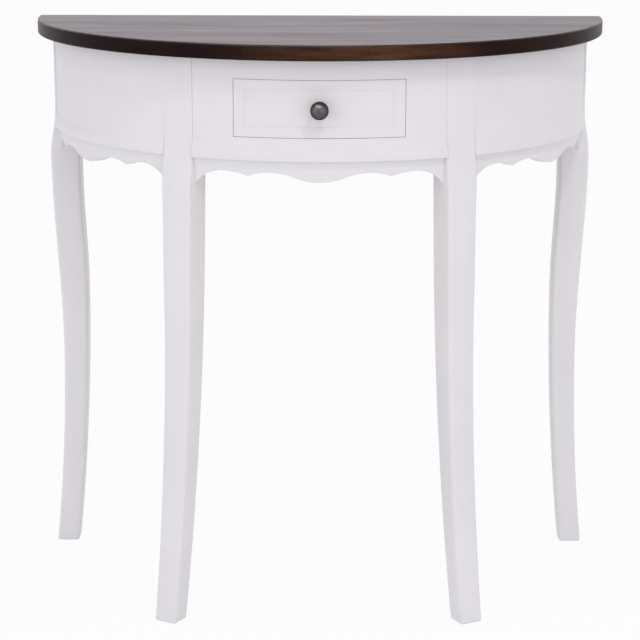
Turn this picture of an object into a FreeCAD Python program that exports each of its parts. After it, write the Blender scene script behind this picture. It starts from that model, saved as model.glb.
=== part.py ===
import FreeCAD, Part
import math
import os
import Sketcher

from FreeCAD import Vector

doc = FreeCAD.newDocument("demilune_table")

# Driving sizes in millimetres, angles in degrees
SIZES = {
    "table_height": "776",
    "top_radius": "400",
    "top_thickness": "20",
    "top_corner": "6",
    "top_round": "3",
    "frieze_overhang": "24",
    "frieze_height": "130.5",
    "panel_thickness": "20",
    "moulding_height": "24",
    "moulding_flat": "8",
    "moulding_swell": "4",
    "upper_rail_height": "26",
    "lower_rail_height": "30",
    "stile_width": "53.3",
    "leg_angle": "29.1",
    "leg_width": "44",
    "post_depth": "33.5",
    "knee_swell": "8",
    "front_ankle_reach": "10.5",
    "front_foot_reach": "49.5",
    "rear_ankle_hollow": "3",
    "rear_foot_reach": "14",
    "foot_depth": "32",
    "foot_width": "33.5",
    "rear_calf_swell": "6",
    "leg_round": "2.5",
    "rear_leg_inset": "26",
    "skirt_depth": "33",
    "skirt_setback": "3",
    "skirt_thickness": "14",
    "back_rail_height": "110",
    "back_rail_inset": "8",
    "block_height": "40",
    "block_reach": "62",
    "block_depth": "22",
    "runner_ledge": "20",
    "runner_width": "41",
    "runner_thickness": "18",
    "guide_height": "25",
    "kicker_width": "16",
    "stop_height": "15",
    "dowel_width": "8",
    "dowel_length": "40",
    "rail_dowel_width": "6",
    "rail_dowel_length": "30",
    "dowel_chamfer": "0.8",
    "bore_end": "1",
    "fit_gap": "0.1",
    "drawer_gap": "0.9",
    "running_gap": "0.4",
    "guide_gap": "0.8",
    "drawer_edge_thickness": "14",
    "drawer_rim": "1.5",
    "drawer_bevel": "12",
    "drawer_recess": "4.2",
    "drawer_bevel_drop": "3.6",
    "drawer_side_thickness": "12",
    "drawer_side_drop": "11.6",
    "drawer_rear_inset": "60",
    "drawer_back_inset": "10",
    "drawer_back_thickness": "10",
    "drawer_housing": "4",
    "drawer_bottom_thickness": "4",
    "drawer_bottom_height": "8",
    "drawer_groove": "5",
    "drawer_dowel_length": "22",
    "knob_width": "23.4",
    "knob_reach": "27.4",
    "knob_base_width": "15",
    "knob_base_height": "1.8",
    "knob_neck_width": "9",
    "screw_width": "4",
    "screw_head_width": "8",
    "screw_head_height": "2.6",
    "top_screw_length": "50",
    "runner_screw_length": "45",
    "bottom_screw_length": "16",
    "bottom_screw_width": "2.4",
    "bottom_screw_head_width": "5",
    "knob_screw_grip": "10",
    "cut_overrun": "5",
}

sizes = doc.addObject("Spreadsheet::Sheet", "sizes")
for row, (alias, number) in enumerate(SIZES.items(), start=1):
    sizes.set(f"A{row}", alias)
    sizes.set(f"B{row}", number)
    sizes.setAlias(f"B{row}", alias)
doc.recompute()

# Slack for telling edges apart by place and direction
place_slack = 1e-3
upright_slack = 0.1
slender_ratio = 4

# Levels, radii and half widths that several pieces share
plan_centre = "(sizes.top_radius / 2)"
underside = "(sizes.table_height - sizes.top_thickness)"
frieze_base = f"({underside} - sizes.frieze_height)"
frieze_radius = "(sizes.top_radius - sizes.frieze_overhang)"
panel_radius = f"({frieze_radius} - sizes.panel_thickness)"
middle_radius = f"({frieze_radius} - sizes.panel_thickness / 2)"
post_back = f"({frieze_radius} - sizes.post_depth)"
leg_half = "(sizes.leg_width / 2)"
rear_side = f"(sizes.rear_leg_inset + {leg_half})"
leg_edge_reach = f"sqrt({frieze_radius} ^ 2 - {leg_half} ^ 2)"
leg_edge = f"({leg_edge_reach} * sin(sizes.leg_angle) - {leg_half} * cos(sizes.leg_angle))"
opening_half = f"({leg_edge} - sizes.stile_width)"
opening_top = f"({underside} - sizes.upper_rail_height)"
opening_base = f"({frieze_base} + sizes.lower_rail_height)"
rail_front = "(sizes.back_rail_inset + sizes.panel_thickness)"
drawer_base = f"({opening_base} + sizes.drawer_gap)"
drawer_half = f"({opening_half} - sizes.drawer_gap)"
drawer_height = f"({opening_top} - {opening_base} - 2 * sizes.drawer_gap)"
drawer_side_height = f"({drawer_height} - sizes.drawer_side_drop)"
drawer_end = f"sqrt({frieze_radius} ^ 2 - {drawer_half} ^ 2)"
drawer_inside = f"({drawer_end} - sizes.drawer_edge_thickness)"
side_inside = f"({drawer_half} - sizes.drawer_side_thickness)"
runner_top = f"({drawer_base} - sizes.running_gap)"
skirt_radius = f"({frieze_radius} - sizes.skirt_setback)"


def value(expression):
    return float(sizes.evalExpression(expression))


def check_cut(feature, before):
    doc.recompute()
    if feature.Shape.isNull() or feature.Shape.Volume >= before:
        raise RuntimeError(f"{feature.Name} removes nothing")
    return feature


def new_body(name):
    body = doc.addObject("PartDesign::Body", name)
    body.Label = name
    return body


def new_sketch(body, role, name):
    plane = next(item for item in body.Origin.OriginFeatures if item.Role == role)
    sketch = body.newObject("Sketcher::SketchObject", name)
    sketch.AttachmentSupport = (plane, [""])
    sketch.MapMode = "FlatFace"
    return sketch


# Ties a point of a sketch to the axes by two formulas
def hold(sketch, geometry, point, across, along):
    for kind, axis, formula in (("DistanceX", -2, across), ("DistanceY", -1, along)):
        if formula is None:
            continue
        if formula == "0":
            sketch.addConstraint(Sketcher.Constraint("PointOnObject", geometry, point, axis))
            continue
        number = sketch.addConstraint(Sketcher.Constraint(kind, -1, 1, geometry, point, value(formula)))
        sketch.setExpression(f"Constraints[{number}]", formula)


# Centre of an arc on the bisector of its chord, at a stated level along one axis
def arc_centre(start, finish, axis, level):
    middle = (start + finish) / 2
    across = Vector(start.y - finish.y, finish.x - start.x, 0)
    if axis == "x":
        return middle + across * ((level - middle.x) / across.x)
    return middle + across * ((level - middle.y) / across.y)


# Closed outline through corners; curves gives each arc's centre level by its first corner
def draw(sketch, corners, curves):
    places = [Vector(value(across), value(along), 0) for across, along in corners]
    strokes = []
    for number, start in enumerate(places):
        finish = places[(number + 1) % len(places)]
        if number not in curves:
            geometry = sketch.addGeometry(Part.LineSegment(start, finish))
            strokes.append((geometry, 1, 2))
            continue
        axis, level = curves[number]
        centre = arc_centre(start, finish, axis, value(level))
        first = start - centre
        last = finish - centre
        circle = Part.Circle(centre, Vector(0, 0, 1), first.Length)
        turns = [math.atan2(first.y, first.x), math.atan2(last.y, last.x)]
        forward = first.cross(last).z >= 0
        if not forward:
            turns.reverse()
        geometry = sketch.addGeometry(Part.ArcOfCircle(circle, turns[0], turns[1]))
        strokes.append((geometry, 1, 2) if forward else (geometry, 2, 1))
    for number, (geometry, first, last) in enumerate(strokes):
        following = strokes[(number + 1) % len(strokes)]
        sketch.addConstraint(Sketcher.Constraint("Coincident", geometry, last, following[0], following[1]))
    for number, (geometry, first, last) in enumerate(strokes):
        hold(sketch, geometry, first, corners[number][0], corners[number][1])
        if number in curves:
            axis, level = curves[number]
            hold(sketch, geometry, 3, level if axis == "x" else None, level if axis == "y" else None)


# Point on a ring round the plan centre, a distance sideways from a radial line
def on_ring(radius, sideways, angle):
    reach = f"sqrt(({radius}) ^ 2 - ({sideways}) ^ 2)"
    across = f"({sideways}) * cos({angle}) + {reach} * sin({angle})"
    along = f"({sideways}) * sin({angle}) - {reach} * cos({angle})"
    return across, along


# Axis on which an arc about the plan centre is best tied
def ring_tie(first, last):
    wide = abs(value(last[0]) - value(first[0]))
    deep = abs(value(last[1]) - value(first[1]))
    return ("y", "0") if wide >= deep else ("x", "0")


def draw_sector(sketch, inner, outer, start, finish):
    corners = [
        on_ring(outer, *start),
        on_ring(outer, *finish),
        on_ring(inner, *finish),
        on_ring(inner, *start),
    ]
    curves = {0: ring_tie(corners[0], corners[1]), 2: ring_tie(corners[2], corners[3])}
    draw(sketch, corners, curves)


def pad(body, sketch, length, both=False):
    feature = body.newObject("PartDesign::Pad", f"{body.Name}_pad")
    feature.Profile = sketch
    feature.setExpression("Length", length)
    if both:
        feature.SideType = "Symmetric"
    doc.recompute()
    return feature


def pocket_through(body, sketch):
    before = body.Shape.Volume
    feature = body.newObject("PartDesign::Pocket", f"{body.Name}_pocket")
    feature.Profile = sketch
    feature.SideType = "Symmetric"
    feature.Type = "ThroughAll"
    return check_cut(feature, before)


def groove_round(body, sketch, angle):
    before = body.Shape.Volume
    feature = body.newObject("PartDesign::Groove", f"{body.Name}_groove")
    feature.Profile = sketch
    feature.ReferenceAxis = (sketch, ["V_Axis"])
    feature.Midplane = True
    feature.setExpression("Angle", angle)
    return check_cut(feature, before)


# Rounds the edges of a body's last feature that a test picks out
def round_edges(body, radius, chosen):
    base = body.Tip
    names = [f"Edge{index}" for index, edge in enumerate(base.Shape.Edges, start=1) if chosen(edge)]
    feature = body.newObject("PartDesign::Fillet", f"{body.Name}_round")
    feature.Base = (base, names)
    feature.setExpression("Radius", radius)
    doc.recompute()
    if feature.Shape.isNull():
        raise RuntimeError(f"{feature.Name} does not round")
    return feature


# Sets a piece about the plan centre at a height, turned about the upright axis
def place(piece, height, turn="0", forward="0"):
    position = f"vector(0; {plan_centre} - ({forward}); {height})"
    piece.setExpression("Placement", f"placement({position}; rotation(vector(0; 0; 1); {turn}))")


def revolve(body, sketch):
    feature = body.newObject("PartDesign::Revolution", f"{body.Name}_turning")
    feature.Profile = sketch
    feature.ReferenceAxis = (sketch, ["V_Axis"])
    feature.Angle = 360
    doc.recompute()
    return feature


# Straight piece of square section
def new_board(name, corner, extent):
    board = doc.addObject("Part::Box", name)
    for item, size in zip(("Length", "Width", "Height"), extent):
        board.setExpression(item, size)
    position = f"vector({corner[0]}; {corner[1]}; {corner[2]})"
    board.setExpression("Placement", f"placement({position}; rotation(0; 0; 0))")
    doc.recompute()
    return board


# Same shape repeated at several places as one group of separate solids
def new_group(name, model, placements):
    links = []
    for number, placement in enumerate(placements):
        link = doc.addObject("App::Link", f"{name}_{number}")
        link.LinkedObject = model
        link.setExpression("Placement", placement)
        links.append(link)
    group = doc.addObject("Part::Compound", name)
    group.Label = name
    group.Links = links
    doc.recompute()
    return group


# Piece with the bores of a group of fasteners taken out
def bore(name, blank, tools):
    piece = blank
    for number, tool in enumerate(tools):
        last = number == len(tools) - 1
        cut = doc.addObject("Part::Cut", name if last else f"{name}_stage_{number}")
        cut.Base = piece
        cut.Tool = tool
        doc.recompute()
        if cut.Shape.Volume >= piece.Shape.Volume:
            raise RuntimeError(f"{tool.Label} does not reach {name}")
        piece = cut
    piece.Label = name
    return piece


# Half-round top with softened edges and eased back corners
top_blank = new_body("top_panel_blank")
top_sketch = new_sketch(top_blank, "XY_Plane", "top_outline")
draw(top_sketch, [("-sizes.top_radius", "0"), ("sizes.top_radius", "0")], {0: ("y", "0")})
pad(top_blank, top_sketch, "sizes.top_thickness")
round_edges(
    top_blank,
    "sizes.top_corner",
    lambda edge: abs(edge.tangentAt(edge.FirstParameter).z) > 1 - upright_slack,
)
round_edges(top_blank, "sizes.top_round", lambda edge: edge.BoundBox.ZLength < place_slack)
place(top_blank, underside)

# Legs are sawn to a curved outline in side view and tapered in front view
flare_share = 0.858
knee_share = 0.769
straight_share = 0.731
taper_share = 0.775
front_ankle_share = 0.6
rear_ankle_share = 0.4
rear_calf_share = 0.512


def leg_level(share):
    return f"({underside} * {share})"


post_face = f"(-{frieze_radius})"
knee = f"({post_face} - sizes.knee_swell)"
leg_back = f"(-{post_back})"
flare_level = leg_level(flare_share)
knee_level = leg_level(knee_share)
straight_level = leg_level(straight_share)


# Outer edge from the post over knee and ankle to the foot
def leg_outer_edge(ankle, ankle_level, foot):
    corners = [
        (post_face, underside),
        (post_face, flare_level),
        (f"({post_face} + {knee}) / 2", f"({flare_level} + {knee_level}) / 2"),
        (knee, knee_level),
        (f"({knee} + {ankle}) / 2", f"({knee_level} + {ankle_level}) / 2"),
        (ankle, ankle_level),
        (foot, "0"),
        (f"{foot} + sizes.foot_depth", "0"),
    ]
    levels = [flare_level, knee_level, knee_level, ankle_level, ankle_level]
    curves = {number: ("y", level) for number, level in enumerate(levels, start=1)}
    return corners, curves


# Front legs sweep outwards from the knee to the foot
def front_leg_outline():
    ankle = f"({post_face} - sizes.front_ankle_reach)"
    foot = f"({post_face} - sizes.front_foot_reach)"
    corners, curves = leg_outer_edge(ankle, leg_level(front_ankle_share), foot)
    curves[len(corners) - 1] = ("y", straight_level)
    return corners + [(leg_back, straight_level), (leg_back, underside)], curves


# Rear legs curve in at the calf and out again to the foot
def rear_leg_outline():
    ankle = f"({post_face} + sizes.rear_ankle_hollow)"
    foot = f"({post_face} - sizes.rear_foot_reach)"
    calf = f"({leg_back} + sizes.rear_calf_swell)"
    calf_level = leg_level(rear_calf_share)
    corners, curves = leg_outer_edge(ankle, leg_level(rear_ankle_share), foot)
    for number, level in enumerate((calf_level, calf_level, straight_level), start=len(corners) - 1):
        curves[number] = ("y", level)
    corners += [
        (calf, calf_level),
        (f"({calf} + {leg_back}) / 2", f"({calf_level} + {straight_level}) / 2"),
        (leg_back, straight_level),
        (leg_back, underside),
    ]
    return corners, curves


# Long arrises of a leg and the edges of its sole
def on_leg_arris(edge):
    box = edge.BoundBox
    return box.ZMax < place_slack or box.ZLength > box.XLength * slender_ratio


def new_leg(name, outline, turn, forward):
    body = new_body(f"{name}_blank")
    sketch = new_sketch(body, "YZ_Plane", f"{name}_side_outline")
    draw(sketch, *outline)
    pad(body, sketch, "sizes.leg_width", both=True)
    taper = new_sketch(body, "XZ_Plane", f"{name}_taper")
    taper_level = leg_level(taper_share)
    outside = f"({leg_half} + sizes.cut_overrun)"
    for side in ("", "-"):
        wedge = [
            (f"{side}sizes.foot_width / 2", "0"),
            (f"{side}{outside}", "0"),
            (f"{side}{outside}", taper_level),
            (f"{side}{leg_half}", taper_level),
        ]
        draw(taper, wedge, {})
    pocket_through(body, taper)
    round_edges(body, "sizes.leg_round", on_leg_arris)
    place(body, "0", turn, forward)
    return body


leg_places = {
    "front_left_leg": (front_leg_outline(), "-sizes.leg_angle", "0"),
    "front_right_leg": (front_leg_outline(), "sizes.leg_angle", "0"),
    "rear_left_leg": (rear_leg_outline(), "-90", "sizes.rear_leg_inset"),
    "rear_right_leg": (rear_leg_outline(), "90", "sizes.rear_leg_inset"),
}
leg_blanks = {name: new_leg(name, *place_of_leg) for name, place_of_leg in leg_places.items()}


# Curved frieze piece; the moulded ones swell out along the lower edge
def new_panel(name, start, finish, base, height, moulded):
    body = new_body(f"{name}_blank")
    sketch = new_sketch(body, "XY_Plane", f"{name}_plan")
    outer = f"({frieze_radius} + sizes.moulding_swell)" if moulded else frieze_radius
    draw_sector(sketch, panel_radius, outer, start, finish)
    pad(body, sketch, height)
    if moulded:
        section = new_sketch(body, "YZ_Plane", f"{name}_moulding")
        face = f"(-{frieze_radius})"
        swell = f"({face} - sizes.moulding_swell)"
        clear = f"({swell} - sizes.cut_overrun)"
        above = f"({height} + sizes.cut_overrun)"
        corners = [
            (face, above),
            (face, "sizes.moulding_height"),
            (f"({face} + {swell}) / 2", "(sizes.moulding_height + sizes.moulding_flat) / 2"),
            (swell, "sizes.moulding_flat"),
            (clear, "sizes.moulding_flat"),
            (clear, above),
        ]
        draw(section, corners, {1: ("y", "sizes.moulding_height"), 2: ("y", "sizes.moulding_flat")})
        groove_round(body, section, "360")
    place(body, base)
    return body


left_front_end = (leg_half, "-sizes.leg_angle")
right_front_end = (f"-{leg_half}", "sizes.leg_angle")
left_opening = (f"-{opening_half}", "0")
right_opening = (opening_half, "0")
left_side_front = (f"-{leg_half}", "-sizes.leg_angle")
right_side_front = (leg_half, "sizes.leg_angle")
left_side_rear = (rear_side, "-90")
right_side_rear = (f"-{rear_side}", "90")

upper_rail_blank = new_panel(
    "upper_drawer_rail", left_opening, right_opening, opening_top, "sizes.upper_rail_height", False
)
lower_rail_blank = new_panel(
    "lower_drawer_rail", left_opening, right_opening, frieze_base, "sizes.lower_rail_height", True
)
panel_blanks = {
    "left_drawer_stile": (left_front_end, left_opening),
    "right_drawer_stile": (right_opening, right_front_end),
    "left_side_apron": (left_side_rear, left_side_front),
    "right_side_apron": (right_side_front, right_side_rear),
}
for name, (start, finish) in panel_blanks.items():
    panel_blanks[name] = new_panel(name, start, finish, frieze_base, "sizes.frieze_height", True)

# Scalloped skirts under the moulding, one pattern in all three bays
drop_share = 0.83
arch_share = 0.46
cusp_share = 0.62
crest_share = 0.45
arch_place_share = 0.40
cusp_place_share = 0.57
crest_place_share = 0.77
tip_place_share = 0.985


def new_skirt(name, start, finish, half_span, turn):
    body = new_body(name)
    sketch = new_sketch(body, "XY_Plane", f"{name}_plan")
    draw_sector(sketch, f"({skirt_radius} - sizes.skirt_thickness)", skirt_radius, start, finish)
    pad(body, sketch, "sizes.skirt_depth")
    scallop = new_sketch(body, "XZ_Plane", f"{name}_scallop")
    chord = f"({skirt_radius} * sin({half_span}))"
    half = [
        (0, drop_share),
        (arch_place_share / 2, (drop_share + arch_share) / 2),
        (arch_place_share, arch_share),
        (cusp_place_share, cusp_share),
        (crest_place_share, crest_share),
        (tip_place_share, 1),
    ]
    centres = [0, arch_place_share, arch_place_share, crest_place_share, crest_place_share]
    rows = [(-share, depth) for share, depth in reversed(half)] + half[1:]
    middles = [-share for share in reversed(centres)] + centres
    corners = []
    for share, depth in rows:
        across = "0" if share == 0 else f"{chord} * {share}"
        along = "0" if depth == 1 else f"sizes.skirt_depth * (1 - {depth})"
        corners.append((across, along))
    corners.append((f"{chord} * {tip_place_share}", "-sizes.cut_overrun"))
    corners.append((f"-{chord} * {tip_place_share}", "-sizes.cut_overrun"))
    curves = {}
    for number, share in enumerate(middles):
        curves[number] = ("x", "0" if share == 0 else f"{chord} * {share}")
    draw(scallop, corners, curves)
    pocket_through(body, scallop)
    place(body, f"{frieze_base} - sizes.skirt_depth", turn)
    return body


leg_turn = f"(asin({leg_half} / {skirt_radius}) / 1 deg)"
rear_turn = f"(asin({rear_side} / {skirt_radius}) / 1 deg)"
side_middle = f"((sizes.leg_angle + {leg_turn} + 90 - {rear_turn}) / 2)"
side_half_span = f"((90 - {rear_turn} - sizes.leg_angle - {leg_turn}) / 2)"
new_skirt("centre_skirt", left_front_end, right_front_end, f"(sizes.leg_angle - {leg_turn})", "0")
new_skirt(
    "left_side_skirt",
    (rear_side, f"({side_middle} - 90)"),
    (f"-{leg_half}", f"({side_middle} - sizes.leg_angle)"),
    side_half_span,
    f"-{side_middle}",
)
new_skirt(
    "right_side_skirt",
    (leg_half, f"(sizes.leg_angle - {side_middle})"),
    (f"-{rear_side}", f"(90 - {side_middle})"),
    side_half_span,
    side_middle,
)

# Straight rail across the back, between the rear legs
back_rail_blank = new_board(
    "back_rail_blank",
    (f"-{post_back}", f"{plan_centre} - {rail_front}", f"{underside} - sizes.back_rail_height"),
    (f"2 * {post_back}", "sizes.panel_thickness", "sizes.back_rail_height"),
)

# Blocks glued in the four corners behind the legs, under the top
block_base = f"({underside} - sizes.block_height)"
block_back_share = 0.64


def new_front_block(name, turn):
    body = new_body(f"{name}_blank")
    sketch = new_sketch(body, "XY_Plane", f"{name}_plan")
    rear = f"(-{post_back} + sizes.block_depth)"
    reach = f"-sqrt({panel_radius} ^ 2 - sizes.block_reach ^ 2)"
    shoulder = f"-sqrt({panel_radius} ^ 2 - {leg_half} ^ 2)"
    half = [
        (f"sizes.block_reach * {block_back_share}", rear),
        ("sizes.block_reach", reach),
        (leg_half, shoulder),
        (leg_half, f"-{post_back}"),
    ]
    draw(sketch, half + [(f"-{across}", along) for across, along in reversed(half)], {})
    pad(body, sketch, "sizes.block_height")
    place(body, block_base, turn)
    return body


def new_rear_block(name, side):
    body = new_body(f"{name}_blank")
    sketch = new_sketch(body, "XY_Plane", f"{name}_plan")
    foremost = f"({rear_side} + sizes.block_reach * {block_back_share})"
    corners = [
        (f"{side}{post_back}", f"-{rail_front}"),
        (f"{side}({post_back} - sizes.block_reach)", f"-{rail_front}"),
        (f"{side}sqrt({panel_radius} ^ 2 - {foremost} ^ 2)", f"-{foremost}"),
        (f"{side}sqrt({panel_radius} ^ 2 - {rear_side} ^ 2)", f"-{rear_side}"),
        (f"{side}{post_back}", f"-{rear_side}"),
    ]
    draw(sketch, corners, {})
    pad(body, sketch, "sizes.block_height")
    place(body, block_base)
    return body


block_blanks = {
    "front_left_corner_block": new_front_block("front_left_corner_block", "-sizes.leg_angle"),
    "front_right_corner_block": new_front_block("front_right_corner_block", "sizes.leg_angle"),
    "rear_left_corner_block": new_rear_block("rear_left_corner_block", "-"),
    "rear_right_corner_block": new_rear_block("rear_right_corner_block", ""),
}


# Long strip from the back rail to the hollow face of the frieze
def new_strip(name, corners, base, height):
    body = new_body(f"{name}_blank")
    sketch = new_sketch(body, "XZ_Plane", f"{name}_section")
    sketch.setExpression("AttachmentOffset.Base.z", rail_front)
    draw(sketch, corners, {})
    pad(body, sketch, f"{panel_radius} - {rail_front}")
    scribe = new_sketch(body, "YZ_Plane", f"{name}_scribe")
    clear = "(2 * sizes.top_radius)"
    above = f"({height} + sizes.cut_overrun)"
    draw(
        scribe,
        [
            (f"-{panel_radius}", "-sizes.cut_overrun"),
            (f"-{panel_radius}", above),
            (f"-{clear}", above),
            (f"-{clear}", "-sizes.cut_overrun"),
        ],
        {},
    )
    groove_round(body, scribe, "360")
    place(body, base)
    return body


runner_inner = f"({opening_half} - sizes.runner_ledge)"
runner_outer = f"({runner_inner} + sizes.runner_width)"
guide_face = f"({drawer_half} + sizes.guide_gap)"
runner_base = f"({runner_top} - sizes.runner_thickness)"
runner_height = "(sizes.runner_thickness + sizes.guide_height)"
kicker_base = f"({drawer_base} + {drawer_side_height} + sizes.running_gap)"
kicker_height = f"({underside} - {kicker_base})"
kicker_outer = f"({runner_inner} + sizes.kicker_width)"


def new_runner(name, side):
    corners = [
        (f"{side}{runner_inner}", "0"),
        (f"{side}{runner_outer}", "0"),
        (f"{side}{runner_outer}", runner_height),
        (f"{side}{guide_face}", runner_height),
        (f"{side}{guide_face}", "sizes.runner_thickness"),
        (f"{side}{runner_inner}", "sizes.runner_thickness"),
    ]
    return new_strip(name, corners, runner_base, runner_height)


def new_kicker(name, side):
    corners = [
        (f"{side}{runner_inner}", "0"),
        (f"{side}{kicker_outer}", "0"),
        (f"{side}{kicker_outer}", kicker_height),
        (f"{side}{runner_inner}", kicker_height),
    ]
    return new_strip(name, corners, kicker_base, kicker_height)


strip_blanks = {
    "left_drawer_runner": new_runner("left_drawer_runner", "-"),
    "right_drawer_runner": new_runner("right_drawer_runner", ""),
    "left_drawer_kicker": new_kicker("left_drawer_kicker", "-"),
    "right_drawer_kicker": new_kicker("right_drawer_kicker", ""),
}

# Stop blocks on the rear ends of the runners
stop_length = f"(sizes.drawer_rear_inset - sizes.running_gap - {rail_front})"
stop_front = f"{plan_centre} - {rail_front} - {stop_length}"
stop_extent = ("sizes.kicker_width", stop_length, "sizes.stop_height")
new_board("left_drawer_stop", (f"-{kicker_outer}", stop_front, runner_top), stop_extent)
new_board("right_drawer_stop", (runner_inner, stop_front, runner_top), stop_extent)


# Dowel lying along its own axis from the middle, and the bore that takes it
def new_dowel(name, width, length, spare):
    body = new_body(name)
    sketch = new_sketch(body, "XZ_Plane", f"{name}_section")
    radius = f"({width} / 2 + {spare})"
    end = f"({length} / 2 + {spare} / sizes.fit_gap * sizes.bore_end)"
    ease = "sizes.dowel_chamfer"
    corners = [
        ("0", f"-{end}"),
        (f"{radius} - {ease}", f"-{end}"),
        (radius, f"-{end} + {ease}"),
        (radius, f"{end} - {ease}"),
        (f"{radius} - {ease}", end),
        ("0", end),
    ]
    draw(sketch, corners, {})
    revolve(body, sketch)
    return body


# Countersunk screw standing on its head at the origin, and the bore that takes it
def new_screw(name, width, head_width, length, spare):
    body = new_body(name)
    sketch = new_sketch(body, "XZ_Plane", f"{name}_section")
    radius = f"({width} / 2 + {spare})"
    head = f"({head_width} / 2 + {spare})"
    end = f"({length} + {spare})"
    corners = [
        ("0", "0"),
        (head, "0"),
        (radius, "sizes.screw_head_height"),
        (radius, f"{end} - {width}"),
        ("0", end),
    ]
    draw(sketch, corners, {})
    revolve(body, sketch)
    return body


no_gap = "0 * sizes.fit_gap"
leg_dowel = new_dowel("leg_dowel", "sizes.dowel_width", "sizes.dowel_length", no_gap)
leg_bore = new_dowel("leg_bore", "sizes.dowel_width", "sizes.dowel_length", "sizes.fit_gap")
rail_dowel = new_dowel("rail_dowel", "sizes.rail_dowel_width", "sizes.rail_dowel_length", no_gap)
rail_bore = new_dowel("rail_bore", "sizes.rail_dowel_width", "sizes.rail_dowel_length", "sizes.fit_gap")

upper_dowel_share = 0.75
lower_dowel_share = 0.3
lay_across = "rotation(vector(0; 1; 0); 90)"
lay_forward = "rotation(vector(1; 0; 0); 90)"


# Dowel axis set square to a leg's side, in the thickness of the curved panel
def leg_joint(turn, forward, side):
    places = []
    quarter = "sizes.dowel_length / 4"
    for share in (upper_dowel_share, lower_dowel_share):
        sideways = f"({leg_half} + {forward} + {quarter})"
        reach = f"sqrt({middle_radius} ^ 2 - {sideways} ^ 2)"
        offset = f"({side}({leg_half} + {forward}))"
        across = f"{offset} * cos({turn}) + {reach} * sin({turn})"
        along = f"{plan_centre} + {offset} * sin({turn}) - {reach} * cos({turn})"
        height = f"{frieze_base} + sizes.frieze_height * {share}"
        spin = f"rotation(vector(0; 0; 1); {turn}) * {lay_across}"
        places.append(f"placement(vector({across}; {along}; {height}); {spin})")
    return places


leg_dowel_places = []
for turn in ("-sizes.leg_angle", "sizes.leg_angle"):
    for side in ("-", ""):
        leg_dowel_places += leg_joint(turn, "0", side)
leg_dowel_places += leg_joint("-90", "sizes.rear_leg_inset", "")
leg_dowel_places += leg_joint("90", "sizes.rear_leg_inset", "-")
for side in ("-", ""):
    for share in (upper_dowel_share, lower_dowel_share):
        along = f"{plan_centre} - sizes.back_rail_inset - sizes.panel_thickness / 2"
        height = f"{underside} - sizes.back_rail_height * {share}"
        position = f"vector({side}{post_back}; {along}; {height})"
        leg_dowel_places.append(f"placement({position}; {lay_across})")

rail_dowel_places = []
rail_levels = (
    f"{opening_top} + sizes.upper_rail_height / 2",
    f"{frieze_base} + sizes.lower_rail_height / 2",
)
for side in ("-", ""):
    for height in rail_levels:
        along = f"{plan_centre} - sqrt({middle_radius} ^ 2 - {opening_half} ^ 2)"
        position = f"vector({side}{opening_half}; {along}; {height})"
        rail_dowel_places.append(f"placement({position}; {lay_across})")

new_group("leg_dowels", leg_dowel, leg_dowel_places)
new_group("rail_dowels", rail_dowel, rail_dowel_places)
leg_bores = new_group("leg_bores", leg_bore, leg_dowel_places)
rail_bores = new_group("rail_bores", rail_bore, rail_dowel_places)

# Screws up through the corner blocks into the top, and through the back rail into the strips
top_screw = new_screw(
    "top_screw", "sizes.screw_width", "sizes.screw_head_width", "sizes.top_screw_length", no_gap
)
top_bore = new_screw(
    "top_bore", "sizes.screw_width", "sizes.screw_head_width", "sizes.top_screw_length", "sizes.fit_gap"
)
runner_screw = new_screw(
    "runner_screw", "sizes.screw_width", "sizes.screw_head_width", "sizes.runner_screw_length", no_gap
)
runner_bore = new_screw(
    "runner_bore",
    "sizes.screw_width",
    "sizes.screw_head_width",
    "sizes.runner_screw_length",
    "sizes.fit_gap",
)

top_screw_places = []
front_screw_radius = f"({post_back} - sizes.block_depth / 2)"
for side in ("-", ""):
    across = f"{side}{front_screw_radius} * sin(sizes.leg_angle)"
    along = f"{plan_centre} - {front_screw_radius} * cos(sizes.leg_angle)"
    top_screw_places.append(f"placement(vector({across}; {along}; {block_base}); rotation(0; 0; 0))")
    across = f"{side}({post_back} - sizes.block_reach / 4)"
    along = f"{plan_centre} - {rear_side}"
    top_screw_places.append(f"placement(vector({across}; {along}; {block_base}); rotation(0; 0; 0))")

runner_screw_places = []
strip_rear = f"{plan_centre} - sizes.back_rail_inset"
for side in ("-", ""):
    for height in (
        f"{runner_base} + sizes.runner_thickness / 2",
        f"{kicker_base} + {kicker_height} / 2",
    ):
        position = f"vector({side}({runner_inner} + sizes.kicker_width / 2); {strip_rear}; {height})"
        runner_screw_places.append(f"placement({position}; {lay_forward})")

new_group("top_screws", top_screw, top_screw_places)
new_group("runner_screws", runner_screw, runner_screw_places)
top_bores = new_group("top_bores", top_bore, top_screw_places)
runner_bores = new_group("runner_bores", runner_bore, runner_screw_places)

bore("top_panel", top_blank, [top_bores])
for name, blank in leg_blanks.items():
    bore(name, blank, [leg_bores])
bore("upper_drawer_rail", upper_rail_blank, [rail_bores])
bore("lower_drawer_rail", lower_rail_blank, [rail_bores])
for name, blank in panel_blanks.items():
    bore(name, blank, [leg_bores, rail_bores] if name.endswith("stile") else [leg_bores])
bore("back_rail", back_rail_blank, [leg_bores, runner_bores])
for name, blank in block_blanks.items():
    bore(name, blank, [top_bores])
for name, blank in strip_blanks.items():
    bore(name, blank, [runner_bores])

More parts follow.
